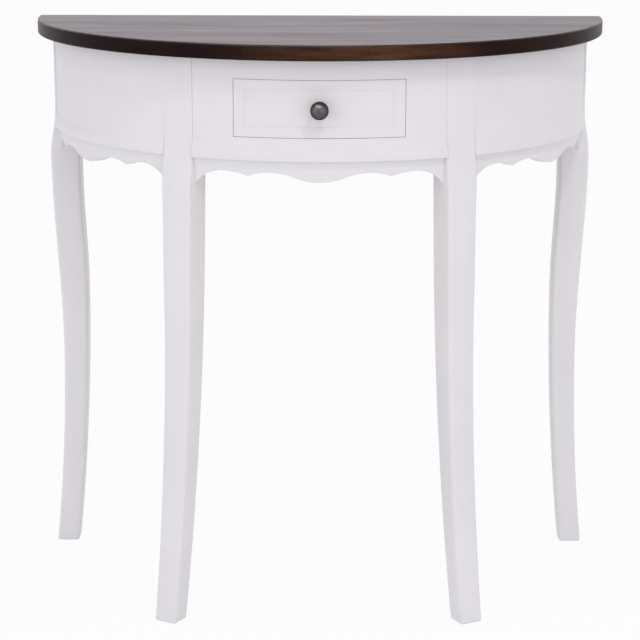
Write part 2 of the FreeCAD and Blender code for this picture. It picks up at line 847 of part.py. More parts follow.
# Bowed drawer front with a flat inner face and a bevelled, sunk field
front_blank = new_body("drawer_front_blank")
front_sketch = new_sketch(front_blank, "XY_Plane", "drawer_front_plan")
draw(
    front_sketch,
    [
        (f"-{drawer_half}", f"-{drawer_end}"),
        (drawer_half, f"-{drawer_end}"),
        (drawer_half, f"-{drawer_inside}"),
        (f"-{drawer_half}", f"-{drawer_inside}"),
    ],
    {0: ("y", "0")},
)
pad(front_blank, front_sketch, drawer_height)
field_border = "(sizes.drawer_rim + sizes.drawer_bevel)"
field_floor = f"({frieze_radius} - sizes.drawer_recess)"
field_turn = f"(asin(({drawer_half} - {field_border}) / {frieze_radius}) / 1 deg)"
field_sketch = new_sketch(front_blank, "YZ_Plane", "drawer_field")
field_clear = f"({frieze_radius} + sizes.cut_overrun)"
draw(
    field_sketch,
    [
        (f"-{field_floor}", field_border),
        (f"-{field_clear}", field_border),
        (f"-{field_clear}", f"{drawer_height} - {field_border}"),
        (f"-{field_floor}", f"{drawer_height} - {field_border}"),
    ],
    {},
)
groove_round(front_blank, field_sketch, f"2 * {field_turn}")


def on_field_rim(edge):
    reach = value(frieze_radius)
    low = value(field_border)
    high = value(drawer_height) - low
    ends = [vertex.Point for vertex in edge.Vertexes]
    outside = all(abs(math.hypot(end.x, end.y) - reach) < place_slack for end in ends)
    within = all(low - place_slack <= end.z <= high + place_slack for end in ends)
    return outside and within


field_base = front_blank.Tip
field_names = [
    f"Edge{index}" for index, edge in enumerate(field_base.Shape.Edges, start=1) if on_field_rim(edge)
]
bevel = front_blank.newObject("PartDesign::Chamfer", "drawer_front_bevel")
bevel.Base = (field_base, field_names)
bevel.ChamferType = "Two distances"
bevel.setExpression("Size", "sizes.drawer_bevel")
bevel.setExpression("Size2", "sizes.drawer_bevel_drop")
doc.recompute()

groove_base = "sizes.drawer_bottom_height"
groove_top = f"({groove_base} + sizes.drawer_bottom_thickness + 2 * sizes.fit_gap)"
groove_half = f"({side_inside} + sizes.drawer_groove)"
front_groove = new_sketch(front_blank, "YZ_Plane", "drawer_front_groove")
draw(
    front_groove,
    [
        (f"-{drawer_inside} + sizes.cut_overrun", groove_base),
        (f"-{drawer_inside} + sizes.cut_overrun", groove_top),
        (f"-{drawer_inside} - sizes.drawer_groove", groove_top),
        (f"-{drawer_inside} - sizes.drawer_groove", groove_base),
    ],
    {},
)
before_groove = front_blank.Shape.Volume
groove_cut = front_blank.newObject("PartDesign::Pocket", "drawer_front_groove_cut")
groove_cut.Profile = front_groove
groove_cut.SideType = "Symmetric"
groove_cut.setExpression("Length", f"2 * {groove_half}")
check_cut(groove_cut, before_groove)
place(front_blank, drawer_base)

# Drawer sides, grooved for the bottom and housed for the back
back_rear = "(sizes.drawer_rear_inset + sizes.drawer_back_inset)"
back_front = f"({back_rear} + sizes.drawer_back_thickness)"
back_base = f"({groove_base} + sizes.fit_gap + sizes.drawer_bottom_thickness)"


def new_drawer_side(name, side):
    body = new_body(f"{name}_blank")
    section = new_sketch(body, "XZ_Plane", f"{name}_section")
    section.setExpression("AttachmentOffset.Base.z", "sizes.drawer_rear_inset")
    corners = [
        (f"{side}{side_inside}", "0"),
        (f"{side}{drawer_half}", "0"),
        (f"{side}{drawer_half}", drawer_side_height),
        (f"{side}{side_inside}", drawer_side_height),
        (f"{side}{side_inside}", groove_top),
        (f"{side}{groove_half}", groove_top),
        (f"{side}{groove_half}", groove_base),
        (f"{side}{side_inside}", groove_base),
    ]
    draw(section, corners, {})
    pad(body, section, f"{drawer_inside} - sizes.drawer_rear_inset")
    housing = new_sketch(body, "XY_Plane", f"{name}_housing")
    housing.setExpression("AttachmentOffset.Base.z", back_base)
    floor = f"({side_inside} + sizes.drawer_housing)"
    clear = f"({side_inside} - sizes.cut_overrun)"
    draw(
        housing,
        [
            (f"{side}{clear}", f"-{back_rear} + sizes.fit_gap"),
            (f"{side}{floor}", f"-{back_rear} + sizes.fit_gap"),
            (f"{side}{floor}", f"-{back_front} - sizes.fit_gap"),
            (f"{side}{clear}", f"-{back_front} - sizes.fit_gap"),
        ],
        {},
    )
    before = body.Shape.Volume
    cut = body.newObject("PartDesign::Pocket", f"{name}_housing_cut")
    cut.Profile = housing
    cut.Reversed = True
    cut.Type = "ThroughAll"
    check_cut(cut, before)
    place(body, drawer_base)
    return body


side_blanks = {
    "drawer_left_side": new_drawer_side("drawer_left_side", "-"),
    "drawer_right_side": new_drawer_side("drawer_right_side", ""),
}

# Drawer back standing on the bottom, and the thin bottom in its grooves
back_half = f"({side_inside} + sizes.drawer_housing - sizes.fit_gap)"
drawer_back_blank = new_board(
    "drawer_back_blank",
    (f"-{back_half}", f"{plan_centre} - {back_front}", f"{drawer_base} + {back_base}"),
    (f"2 * {back_half}", "sizes.drawer_back_thickness", f"{drawer_side_height} - {back_base}"),
)
bottom_half = f"({groove_half} - sizes.running_gap)"
bottom_front = f"({drawer_inside} + sizes.drawer_groove - sizes.running_gap)"
drawer_bottom_blank = new_board(
    "drawer_bottom_blank",
    (f"-{bottom_half}", f"{plan_centre} - {bottom_front}", f"{drawer_base} + {groove_base} + sizes.fit_gap"),
    (f"2 * {bottom_half}", f"{bottom_front} - sizes.drawer_rear_inset", "sizes.drawer_bottom_thickness"),
)

# Dowels between drawer front and sides, and screws from the bottom into the back
drawer_dowel = new_dowel("drawer_dowel", "sizes.rail_dowel_width", "sizes.drawer_dowel_length", no_gap)
drawer_bore = new_dowel(
    "drawer_bore", "sizes.rail_dowel_width", "sizes.drawer_dowel_length", "sizes.fit_gap"
)
drawer_dowel_shares = (0.4, 0.8)
drawer_dowel_places = []
for side in ("-", ""):
    for share in drawer_dowel_shares:
        across = f"{side}({drawer_half} - sizes.drawer_side_thickness / 2)"
        height = f"{drawer_base} + {drawer_side_height} * {share}"
        position = f"vector({across}; {plan_centre} - {drawer_inside}; {height})"
        drawer_dowel_places.append(f"placement({position}; {lay_forward})")
new_group("drawer_dowels", drawer_dowel, drawer_dowel_places)
drawer_bores = new_group("drawer_bores", drawer_bore, drawer_dowel_places)

bottom_screw = new_screw(
    "bottom_screw",
    "sizes.bottom_screw_width",
    "sizes.bottom_screw_head_width",
    "sizes.bottom_screw_length",
    no_gap,
)
bottom_bore = new_screw(
    "bottom_bore",
    "sizes.bottom_screw_width",
    "sizes.bottom_screw_head_width",
    "sizes.bottom_screw_length",
    "sizes.fit_gap",
)
bottom_screw_shares = (-0.7, 0, 0.7)
bottom_screw_places = []
for share in bottom_screw_shares:
    along = f"{plan_centre} - ({back_rear} + {back_front}) / 2"
    height = f"{drawer_base} + {groove_base} + sizes.fit_gap"
    position = f"vector({side_inside} * {share}; {along}; {height})"
    bottom_screw_places.append(f"placement({position}; rotation(0; 0; 0))")
new_group("drawer_bottom_screws", bottom_screw, bottom_screw_places)
bottom_bores = new_group("bottom_bores", bottom_bore, bottom_screw_places)

# Ball knob on a short neck, held by a screw from inside the drawer front
knob_blank = new_body("knob_blank")
knob_sketch = new_sketch(knob_blank, "XZ_Plane", "knob_section")
ball = "(sizes.knob_width / 2)"
neck = "(sizes.knob_neck_width / 2)"
knob_base = "(sizes.knob_base_width / 2)"
ball_foot = f"(sizes.knob_reach - {ball} - sqrt({ball} ^ 2 - {neck} ^ 2))"
draw(
    knob_sketch,
    [
        ("0", "0"),
        (knob_base, "0"),
        (knob_base, "sizes.knob_base_height"),
        (neck, "sizes.knob_base_height"),
        (neck, ball_foot),
        ("0", "sizes.knob_reach"),
    ],
    {4: ("x", "0")},
)
revolve(knob_blank, knob_sketch)
knob_level = f"{drawer_base} + {drawer_height} / 2"
knob_blank.setExpression(
    "Placement", f"placement(vector(0; {plan_centre} - {field_floor}; {knob_level}); {lay_forward})"
)
knob_screw_length = f"({field_floor} - {drawer_inside} + sizes.knob_screw_grip)"
knob_screw_place = f"placement(vector(0; {plan_centre} - {drawer_inside}; {knob_level}); {lay_forward})"
screw_sizes = ("sizes.screw_width", "sizes.screw_head_width", knob_screw_length)
knob_screw = new_screw("knob_screw", *screw_sizes, no_gap)
knob_screw.setExpression("Placement", knob_screw_place)
knob_bore = new_screw("knob_bore", *screw_sizes, "sizes.fit_gap")
knob_bore.setExpression("Placement", knob_screw_place)
doc.recompute()

bore("drawer_front", front_blank, [drawer_bores, knob_bore])
for name, blank in side_blanks.items():
    bore(name, blank, [drawer_bores])
bore("drawer_back", drawer_back_blank, [bottom_bores])
bore("drawer_bottom", drawer_bottom_blank, [bottom_bores])
bore("knob", knob_blank, [knob_bore])

# Every piece of the table, checked and written as its own file
PIECES = [
    "top_panel",
    *leg_blanks,
    "upper_drawer_rail",
    "lower_drawer_rail",
    *panel_blanks,
    "centre_skirt",
    "left_side_skirt",
    "right_side_skirt",
    "back_rail",
    *block_blanks,
    *strip_blanks,
    "left_drawer_stop",
    "right_drawer_stop",
    "leg_dowels",
    "rail_dowels",
    "top_screws",
    "runner_screws",
    "drawer_front",
    *side_blanks,
    "drawer_back",
    "drawer_bottom",
    "drawer_dowels",
    "drawer_bottom_screws",
    "knob",
    "knob_screw",
]
doc.recompute()
for item in doc.Objects:
    if "Invalid" in item.State or "Error" in item.State:
        raise RuntimeError(f"{item.Name} is not sound")
os.makedirs("parts", exist_ok=True)
for name in PIECES:
    shape = doc.getObjectsByLabel(name)[0].Shape
    if shape.isNull() or not shape.isValid():
        raise RuntimeError(f"{name} has no sound shape")
    shape.exportStep(f"parts/{name}.step")
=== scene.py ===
import math

import bmesh
import bpy
from mathutils import Euler, Matrix, Vector


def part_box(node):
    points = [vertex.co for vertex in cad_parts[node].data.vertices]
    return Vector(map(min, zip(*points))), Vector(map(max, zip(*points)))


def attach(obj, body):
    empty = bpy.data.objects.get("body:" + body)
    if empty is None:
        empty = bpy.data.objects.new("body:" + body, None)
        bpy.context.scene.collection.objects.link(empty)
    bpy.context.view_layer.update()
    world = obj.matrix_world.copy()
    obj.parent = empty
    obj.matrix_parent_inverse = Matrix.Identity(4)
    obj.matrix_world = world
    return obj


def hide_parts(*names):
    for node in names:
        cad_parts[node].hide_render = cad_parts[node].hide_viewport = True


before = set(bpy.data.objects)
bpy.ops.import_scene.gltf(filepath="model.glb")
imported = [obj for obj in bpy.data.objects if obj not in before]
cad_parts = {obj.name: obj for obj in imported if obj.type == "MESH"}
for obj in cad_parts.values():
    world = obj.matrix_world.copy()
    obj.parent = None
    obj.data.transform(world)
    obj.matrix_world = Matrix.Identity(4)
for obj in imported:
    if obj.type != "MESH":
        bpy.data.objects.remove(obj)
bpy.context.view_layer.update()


# Legs: four pieces of solid wood, sawn to a swelling curve in side view, tapered to the foot,
# sanded soft along the arrises and brushed with satin white paint. Each is doweled to the
# frieze; the front pair sweeps outwards to the foot, the rear pair curves in at the calf.
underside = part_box("top_panel")[0].z
plan_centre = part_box("top_panel")[1].y
frieze_reach = plan_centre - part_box("upper_drawer_rail")[0].y
frieze_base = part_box("left_side_apron")[0].z
leg_width = 0.044
post_depth = 0.0335
foot_width = 0.0335
foot_depth = 0.032
knee_swell = 0.008
calf_swell = 0.006
front_ankle_reach = 0.0105
front_foot_reach = 0.0495
rear_ankle_reach = -0.003
rear_foot_reach = 0.014
post_share = 0.858
knee_share = 0.769
post_back_share = 0.731
front_ankle_share = 0.6
calf_share = 0.512
rear_ankle_share = 0.4
taper_level = 0.775 * underside
front_leg_turn = math.radians(29.1)
rear_leg_inset = 0.026
leg_rings = 48
arris_round = 0.0060
arris_segments = 4
sole_round = 0.0030
joint_arris_share = 0.2
tight_arris_share = 0.03
arris_fade = 0.05
leg_smoothing = math.radians(40)

# Stations down a leg: share of its height, and distance out from the face of the frieze
leg_face = [(1.0, 0.0), (post_share, 0.0), (knee_share, knee_swell)]
leg_back = [(1.0, -post_depth), (post_back_share, -post_depth)]
front_outer = leg_face + [(front_ankle_share, front_ankle_reach), (0.0, front_foot_reach)]
front_inner = leg_back + [(0.0, front_foot_reach - foot_depth)]
rear_outer = leg_face + [(rear_ankle_share, rear_ankle_reach), (0.0, rear_foot_reach)]
rear_inner = leg_back + [
    (calf_share, -post_depth - calf_swell),
    (0.0, rear_foot_reach - foot_depth),
]

paint_dull = (0.735, 0.718, 0.752)
paint_clear = (0.775, 0.760, 0.790)
paint_thin = (0.705, 0.688, 0.716)
# Painted shade: the darker paint colour laid into corners, joints and gaps
painted_corner_shade = (0.600, 0.578, 0.585)
paint_gloss = 0.2
corner_shade_reach = 0.008
bristle_marks = (7.0, 460.0, 460.0)
sweep_marks = (4.0, 60.0, 60.0)
cloud_size = (6.0, 6.0, 6.0)
peel_size = (700.0, 700.0, 700.0)


def add_node(tree, kind, sockets=None, **settings):
    node = tree.nodes.new(kind)
    for name, setting in settings.items():
        setattr(node, name, setting)
    for name, source in (sockets or {}).items():
        if isinstance(source, bpy.types.NodeSocket):
            tree.links.new(source, node.inputs[name])
        else:
            node.inputs[name].default_value = source
    return node


def new_finish(name):
    material = bpy.data.materials.new(name)
    material.use_nodes = True
    return material, material.node_tree, material.node_tree.nodes["Principled BSDF"]


def work_out(tree, operation, first, second=0.0, third=0.0):
    node = add_node(tree, "ShaderNodeMath", {0: first, 1: second, 2: third}, operation=operation)
    return node.outputs["Value"]


def speckle(tree, place, scale, detail, roughness=0.55, distortion=0.0):
    mapping = add_node(tree, "ShaderNodeMapping", {"Vector": place, "Scale": scale})
    noise = add_node(
        tree,
        "ShaderNodeTexNoise",
        {
            "Vector": mapping.outputs["Vector"],
            "Scale": 1.0,
            "Detail": detail,
            "Roughness": roughness,
            "Distortion": distortion,
        },
    )
    return noise.outputs["Fac"]


def spread(tree, amount, low, high, from_low=0.3, from_high=0.7):
    node = add_node(
        tree,
        "ShaderNodeMapRange",
        {
            "Value": amount,
            "From Min": from_low,
            "From Max": from_high,
            "To Min": low,
            "To Max": high,
        },
    )
    return node.outputs["Result"]


def blend(tree, amount, first, second):
    node = add_node(tree, "ShaderNodeMix", {0: amount}, data_type="RGBA")
    for socket, colour in ((node.inputs[6], first), (node.inputs[7], second)):
        if isinstance(colour, bpy.types.NodeSocket):
            tree.links.new(colour, socket)
        else:
            socket.default_value = (*colour, 1.0)
    return node.outputs[2]


def raise_grain(tree, shader, height, strength, depth):
    bump = add_node(
        tree, "ShaderNodeBump", {"Height": height, "Strength": strength, "Distance": depth}
    )
    tree.links.new(bump.outputs["Normal"], shader.inputs["Normal"])


def place_on_piece(tree):
    return add_node(tree, "ShaderNodeTexCoord").outputs["Object"]


def lay_along(tree, strokes):
    place = place_on_piece(tree)
    axes = add_node(tree, "ShaderNodeSeparateXYZ", {"Vector": place}).outputs
    along, across, through = strokes(tree, axes["X"], axes["Y"], axes["Z"])
    laid = add_node(tree, "ShaderNodeCombineXYZ", {"X": along, "Y": across, "Z": through})
    return place, laid.outputs["Vector"]


def white_paint(name, strokes):
    material, tree, shader = new_finish(name)
    place, brushed = lay_along(tree, strokes)
    bristle = speckle(tree, brushed, bristle_marks, 3.0, 0.6, 0.3)
    sweep = speckle(tree, brushed, sweep_marks, 3.0)
    cloud = speckle(tree, place, cloud_size, 3.0)
    peel = speckle(tree, place, peel_size, 1.0)
    coat = blend(tree, spread(tree, cloud, 0.0, 1.0), paint_dull, paint_clear)
    coat = blend(tree, spread(tree, sweep, 0.0, 0.25), coat, paint_thin)
    # Painted shade: where other surfaces stand close, in corners, joints and drawer gaps, the
    # base colour is darkened by up to 12%
    corner = add_node(
        tree, "ShaderNodeAmbientOcclusion", {"Distance": corner_shade_reach}, samples=8
    ).outputs["AO"]
    coat = blend(tree, spread(tree, corner, 0.12, 0.0, 0.25, 0.75), coat, painted_corner_shade)
    tree.links.new(coat, shader.inputs["Base Color"])
    tree.links.new(spread(tree, sweep, 0.36, 0.50), shader.inputs["Roughness"])
    shader.inputs["Specular IOR Level"].default_value = paint_gloss
    relief = work_out(tree, "MULTIPLY_ADD", sweep, 0.8, bristle)
    relief = work_out(tree, "MULTIPLY_ADD", peel, 0.25, relief)
    raise_grain(tree, shader, relief, 0.10, 0.0005)
    return material


def strokes_upright(tree, x, y, z):
    return z, x, y


def deselect():
    bpy.ops.object.select_all(action="DESELECT")


def pick_points(piece, chosen):
    mesh = bmesh.from_edit_mesh(piece.data)
    for vertex in mesh.verts:
        vertex.select = chosen(vertex.co)
    mesh.select_flush_mode()
    bmesh.update_edit_mesh(piece.data)


# Offset of an outline at a level: an S between stations, and an open sweep to the foot
def outline_at(stations, level):
    share = level / underside
    for (upper, start), (lower, finish) in zip(stations, stations[1:]):
        if share >= lower:
            step = (upper - share) / (upper - lower)
            ease = step * step if lower == 0.0 else step * step * (3.0 - 2.0 * step)
            return start + (finish - start) * ease
    return stations[-1][1]


def shape_leg(name, outer, inner):
    deselect()
    post_size = (leg_width, post_depth, underside)
    bpy.ops.mesh.primitive_cube_add(size=1.0, location=(0, 0, underside / 2), scale=post_size)
    leg = bpy.context.object
    leg.name = name
    bpy.ops.object.transform_apply(location=True, rotation=False, scale=True)
    bpy.ops.object.mode_set(mode="EDIT")
    for ring in range(1, leg_rings):
        bpy.ops.mesh.select_all(action="SELECT")
        level = underside * ring / leg_rings
        bpy.ops.mesh.bisect(plane_co=(0, 0, level), plane_no=(0, 0, 1))
    ring_gap = underside / leg_rings
    for ring in range(leg_rings + 1):
        level = underside * ring / leg_rings
        front = outline_at(outer, level)
        back = outline_at(inner, level)
        width = foot_width + (leg_width - foot_width) * min(level / taper_level, 1.0)
        pick_points(leg, lambda point: abs(point.z - level) < ring_gap / 4)
        stretch = (width / leg_width, (front - back) / post_depth, 1.0)
        bpy.ops.transform.resize(value=stretch, center_override=(0, 0, level))
        bpy.ops.transform.translate(value=(0, -frieze_reach - (front + back) / 2, 0))
    bpy.ops.object.mode_set(mode="OBJECT")
    soften_arrises(leg, ring_gap)
    return leg


# Round below the frieze, nearly sharp at the joints with it, and lightly eased at the sole
def soften_arrises(leg, ring_gap):
    weights = leg.data.attributes.new("bevel_weight_edge", "FLOAT", "EDGE")
    for edge in leg.data.edges:
        ends = [leg.data.vertices[index].co for index in edge.vertices]
        low, high = sorted(end.z for end in ends)
        if high - low > ring_gap / 2:
            clear = min(max((frieze_base - (low + high) / 2) / arris_fade, 0.0), 1.0)
            joint = joint_arris_share if ends[0].x > 0 else tight_arris_share
            weights.data[edge.index].value = joint + (1.0 - joint) * clear
        elif high < ring_gap / 2:
            weights.data[edge.index].value = sole_round / arris_round
    soften = leg.modifiers.new("soft_arris", "BEVEL")
    soften.limit_method = "WEIGHT"
    soften.width = arris_round
    soften.segments = arris_segments
    bpy.ops.object.modifier_apply(modifier=soften.name)
    bpy.ops.object.shade_smooth_by_angle(angle=leg_smoothing)


def stand_leg(leg, node, turn, inset, finish):
    hand = 1 if turn < 0 else -1
    deselect()
    copy = bpy.data.objects.new(node + "_shaped", leg.data.copy())
    bpy.context.scene.collection.objects.link(copy)
    copy.location = (0, plan_centre - inset, 0)
    copy.rotation_euler = (0, 0, turn)
    copy.scale = (hand, 1, 1)
    copy.select_set(True)
    bpy.context.view_layer.objects.active = copy
    bpy.ops.object.transform_apply(location=True, rotation=True, scale=True)
    bpy.ops.object.mode_set(mode="EDIT")
    bpy.ops.mesh.select_all(action="SELECT")
    bpy.ops.mesh.normals_make_consistent(inside=False)
    bpy.ops.object.mode_set(mode="OBJECT")
    copy.data.materials.append(finish)
    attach(copy, "carcass")
    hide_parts(node)


leg_paint = white_paint("white_paint_on_legs", strokes_upright)
front_leg = shape_leg("front_leg", front_outer, front_inner)
stand_leg(front_leg, "front_left_leg", -front_leg_turn, 0.0, leg_paint)
stand_leg(front_leg, "front_right_leg", front_leg_turn, 0.0, leg_paint)
bpy.data.objects.remove(front_leg)
rear_leg = shape_leg("rear_leg", rear_outer, rear_inner)
stand_leg(rear_leg, "rear_left_leg", -math.pi / 2, rear_leg_inset, leg_paint)
stand_leg(rear_leg, "rear_right_leg", math.pi / 2, rear_leg_inset, leg_paint)
bpy.data.objects.remove(rear_leg)

# Frieze: curved aprons, stiles and rails between the legs, with a moulding worked along the
# lower edge. Painted with the legs, the brush following the curve; the lower arris is eased.
moulding_round = 0.0016
joint_round = 0.0011
edge_segments = 3
run_out_turn = math.radians(2.4)
run_out_depth = 0.0003
moulding_proud = 0.0004
joint_length = 0.02
joint_margin = 0.004
stile_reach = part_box("right_drawer_stile")[1].x
level_slack = 0.0002
reach_slack = 0.0005
point_slack = 0.00002
weld_distance = 0.00001
flat_angle = math.radians(0.4)
edge_smoothing = math.radians(32)


def strokes_round(tree, x, y, z):
    ahead = work_out(tree, "SUBTRACT", plan_centre, y)
    ahead_squared = work_out(tree, "MULTIPLY", ahead, ahead)
    reach = work_out(tree, "SQRT", work_out(tree, "MULTIPLY_ADD", x, x, ahead_squared))
    turn = work_out(tree, "ARCTAN2", x, ahead)
    return work_out(tree, "MULTIPLY", turn, frieze_reach), reach, z


def pick_edges(piece, chosen):
    mesh = bmesh.from_edit_mesh(piece.data)
    for edge in mesh.edges:
        edge.select = chosen(edge)
    mesh.select_flush_mode()
    bmesh.update_edit_mesh(piece.data)


# Copy of a piece, grown by its coats of paint, with chosen edges eased
def ease_edges(node, body, finish, *rounds, shape=None, build_up=0.0):
    deselect()
    piece = bpy.data.objects.new(node + "_eased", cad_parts[node].data.copy())
    bpy.context.scene.collection.objects.link(piece)
    piece.select_set(True)
    bpy.context.view_layer.objects.active = piece
    bpy.ops.mesh.customdata_custom_splitnormals_clear()
    bpy.ops.object.mode_set(mode="EDIT")
    bpy.ops.mesh.select_all(action="SELECT")
    bpy.ops.mesh.remove_doubles(threshold=weld_distance)
    bpy.ops.mesh.dissolve_limited(angle_limit=flat_angle)
    if shape:
        shape(piece)
    bpy.ops.mesh.select_mode(type="EDGE")
    for amount, chosen in rounds:
        pick_edges(piece, chosen)
        bpy.ops.mesh.bevel(
            offset=amount, segments=edge_segments, affect="EDGES", clamp_overlap=True
        )
    if build_up:
        low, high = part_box(node)
        size = high - low
        stretch = (1 + 2 * build_up / size.x, 1, 1 + 2 * build_up / size.z)
        bpy.ops.mesh.select_all(action="SELECT")
        bpy.ops.transform.resize(value=stretch, center_override=(low + high) / 2)
    bpy.ops.object.mode_set(mode="OBJECT")
    bpy.ops.object.shade_smooth_by_angle(angle=edge_smoothing)
    piece.data.materials.clear()
    piece.data.materials.append(finish)
    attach(piece, body)
    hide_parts(node)


def reach_of(point):
    return math.hypot(point.x, point.y - plan_centre)


def turn_of(point):
    return math.atan2(abs(point.x), plan_centre - point.y)


def on_lower_arris(edge):
    return all(
        abs(end.co.z - frieze_base) < level_slack
        and reach_of(end.co) > frieze_reach + reach_slack
        for end in edge.verts
    )


def on_leg_joint(edge):
    ends = [end.co for end in edge.verts]
    upright = abs(ends[0].z - ends[1].z) > joint_length
    return upright and all(
        reach_of(end) > frieze_reach - reach_slack and abs(end.x) > stile_reach - joint_margin
        for end in ends
    )


# The moulding on an apron dies into the leg at each end
def run_out_moulding(piece):
    mesh = bmesh.from_edit_mesh(piece.data)
    points = [vertex.co.copy() for vertex in mesh.verts]
    proud = [point for point in points if reach_of(point) > frieze_reach + moulding_proud]
    side = 1 if proud[0].x > 0 else -1
    front_end = min(turn_of(point) for point in proud)
    rear_end = max(turn_of(point) for point in proud)
    for cut in (front_end + run_out_turn, rear_end - run_out_turn):
        across = (side * math.cos(cut), math.sin(cut), 0)
        bpy.ops.mesh.select_all(action="SELECT")
        bpy.ops.mesh.bisect(plane_co=(0, plan_centre, 0), plane_no=across)
    bpy.ops.mesh.select_mode(type="VERT")
    for end, outline in ((front_end, front_outer), (rear_end, rear_outer)):
        for point in [point for point in proud if abs(turn_of(point) - end) < run_out_turn / 4]:
            pick_points(piece, lambda other: (other - point).length < point_slack)
            leg_front = frieze_reach + outline_at(outline, point.z)
            back = leg_front + run_out_depth - reach_of(point)
            outwards = Vector((point.x, point.y - plan_centre, 0)).normalized()
            bpy.ops.transform.translate(value=outwards * min(back, 0.0))


def finish_node(finish, *nodes):
    for node in nodes:
        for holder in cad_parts[node].material_slots:
            holder.material = finish


frieze_paint = white_paint("white_paint_on_frieze", strokes_round)
lower_arris = (moulding_round, on_lower_arris)
leg_joint = (joint_round, on_leg_joint)
ease_edges("lower_drawer_rail", "carcass", frieze_paint, lower_arris)
for node in ("left_side_apron", "right_side_apron"):
    ease_edges(node, "carcass", frieze_paint, lower_arris, shape=run_out_moulding)
for node in ("left_drawer_stile", "right_drawer_stile"):
    ease_edges(node, "carcass", frieze_paint, lower_arris, leg_joint)
finish_node(frieze_paint, "upper_drawer_rail")

# Skirts: thin curved boards glued up under the moulding, fretted to a wavy edge and sanded
# round along it. Painted with the frieze.
skirt_round = 0.0018
wavy_margin = 0.004
wavy_turn = math.radians(50)


def on_wavy_edge(edge):
    below = all(end.co.z < frieze_base - wavy_margin for end in edge.verts)
    return below and edge.calc_face_angle(0.0) > wavy_turn


for node in ("centre_skirt", "left_side_skirt", "right_side_skirt"):
    ease_edges(node, "carcass", frieze_paint, (skirt_round, on_wavy_edge))


# Back rail: a straight board doweled between the rear legs, painted along its length.
# It carries the rear ends of the drawer's runners.
def strokes_across(tree, x, y, z):
    return x, y, z


finish_node(white_paint("white_paint_on_back", strokes_across), "back_rail")

# Corner blocks, runners, kickers and stops: planed softwood left bare inside the carcass,
# glued and screwed. The grain runs along each piece.
pine_pale = (0.62, 0.43, 0.25)
pine_deep = (0.45, 0.26, 0.12)
ring_lines = (2.0, 90.0, 90.0)
fibre_lines = (30.0, 1200.0, 1200.0)


def bare_wood(name, strokes, pale, deep):
    material, tree, shader = new_finish(name)
    place, sawn = lay_along(tree, strokes)
    rings = speckle(tree, sawn, ring_lines, 6.0, 0.6, 1.2)
    fibre = speckle(tree, sawn, fibre_lines, 2.0)
    colour = blend(tree, spread(tree, rings, 0.0, 1.0), pale, deep)
    colour = blend(tree, spread(tree, fibre, 0.3, 0.0), colour, deep)
    tree.links.new(colour, shader.inputs["Base Color"])
    tree.links.new(spread(tree, rings, 0.55, 0.72), shader.inputs["Roughness"])
    raise_grain(tree, shader, fibre, 0.15, 0.0005)
    return material


def strokes_deep(tree, x, y, z):
    return y, x, z


pine_across = bare_wood("pine_across", strokes_across, pine_pale, pine_deep)
pine_inwards = bare_wood("pine_inwards", strokes_deep, pine_pale, pine_deep)
finish_node(
    pine_across,
    "front_left_corner_block",
    "front_right_corner_block",
    "rear_left_corner_block",
    "rear_right_corner_block",
)
finish_node(
    pine_inwards,
    "left_drawer_runner",
    "right_drawer_runner",
    "left_drawer_kicker",
    "right_drawer_kicker",
    "left_drawer_stop",
    "right_drawer_stop",
)

# Dowels and screws: bare wooden pins glued into the joints, and zinc-plated steel screws,
# slightly cloudy, with fine marks from driving.
zinc_dull = (0.46, 0.46, 0.45)
zinc_clear = (0.62, 0.62, 0.60)
zinc_cloud = (400.0, 400.0, 400.0)
finish_node(pine_across, "leg_dowels", "rail_dowels")
screw_zinc, tree, shader = new_finish("zinc_steel")
cloud = speckle(tree, place_on_piece(tree), zinc_cloud, 4.0)
colour = blend(tree, spread(tree, cloud, 0.0, 1.0), zinc_dull, zinc_clear)
tree.links.new(colour, shader.inputs["Base Color"])
shader.inputs["Metallic"].default_value = 1.0
tree.links.new(spread(tree, cloud, 0.28, 0.42), shader.inputs["Roughness"])
raise_grain(tree, shader, cloud, 0.1, 0.0003)
finish_node(screw_zinc, "top_screws", "runner_screws", "drawer_bottom_screws", "knob_screw")

# Top: boards glued edge to edge, sawn to a half round, stained nearly black and rubbed with a
# thin satin varnish. The grain runs along the wall and the stain takes unevenly. A warmer brown
# in the figure and thin patches of stain shows on the front edge, placed right of centre as a
# painted highlight; the top face is coloured a paler mauve, streaked with the grain, as painted
# sheen.
board_width = 0.094
board_shift = 9.0
stain_dark = (0.0062, 0.0024, 0.0016)
stain_mid = (0.0130, 0.0054, 0.0036)
# Painted highlight colour for the front edge, a warm brown
warm_stain_and_painted_highlight = (0.125, 0.057, 0.0245)
# Painted sheen on the top face: a paler and a deeper mauve brown
painted_sheen_pale = (0.0700, 0.0430, 0.0405)
painted_sheen_deep = (0.0055, 0.0029, 0.0027)
# Where along the front edge the painted highlight rises, is full, fades and stops
painted_highlight_start = -0.137
painted_highlight_full = 0.040
painted_highlight_fade = 0.097
painted_highlight_stop = 0.215
streak_lines = (2.6, 36.0, 52.0)
figure_size = (1.1, 11.0, 11.0)
pore_lines = (26.0, 950.0, 950.0)
thin_patches = (14.0, 14.0, 130.0)
rubbed_lines = (4.0, 24.0, 24.0)
varnish_bend = 1.15
varnish_tint = (1.0, 0.72, 1.0, 1.0)
wax_roughness = 0.34
wax_tint = (1.0, 0.84, 1.0, 1.0)
top_wood, tree, shader = new_finish("stained_boards")
place = place_on_piece(tree)
axes = add_node(tree, "ShaderNodeSeparateXYZ", {"Vector": place}).outputs
board = work_out(tree, "FLOOR", work_out(tree, "DIVIDE", axes["Y"], board_width))
tone = add_node(
    tree, "ShaderNodeTexWhiteNoise", {"W": board}, noise_dimensions="1D"
).outputs["Value"]
shifted = work_out(tree, "MULTIPLY_ADD", tone, board_shift, axes["X"])
moved = add_node(
    tree, "ShaderNodeCombineXYZ", {"X": shifted, "Y": axes["Y"], "Z": axes["Z"]}
).outputs["Vector"]
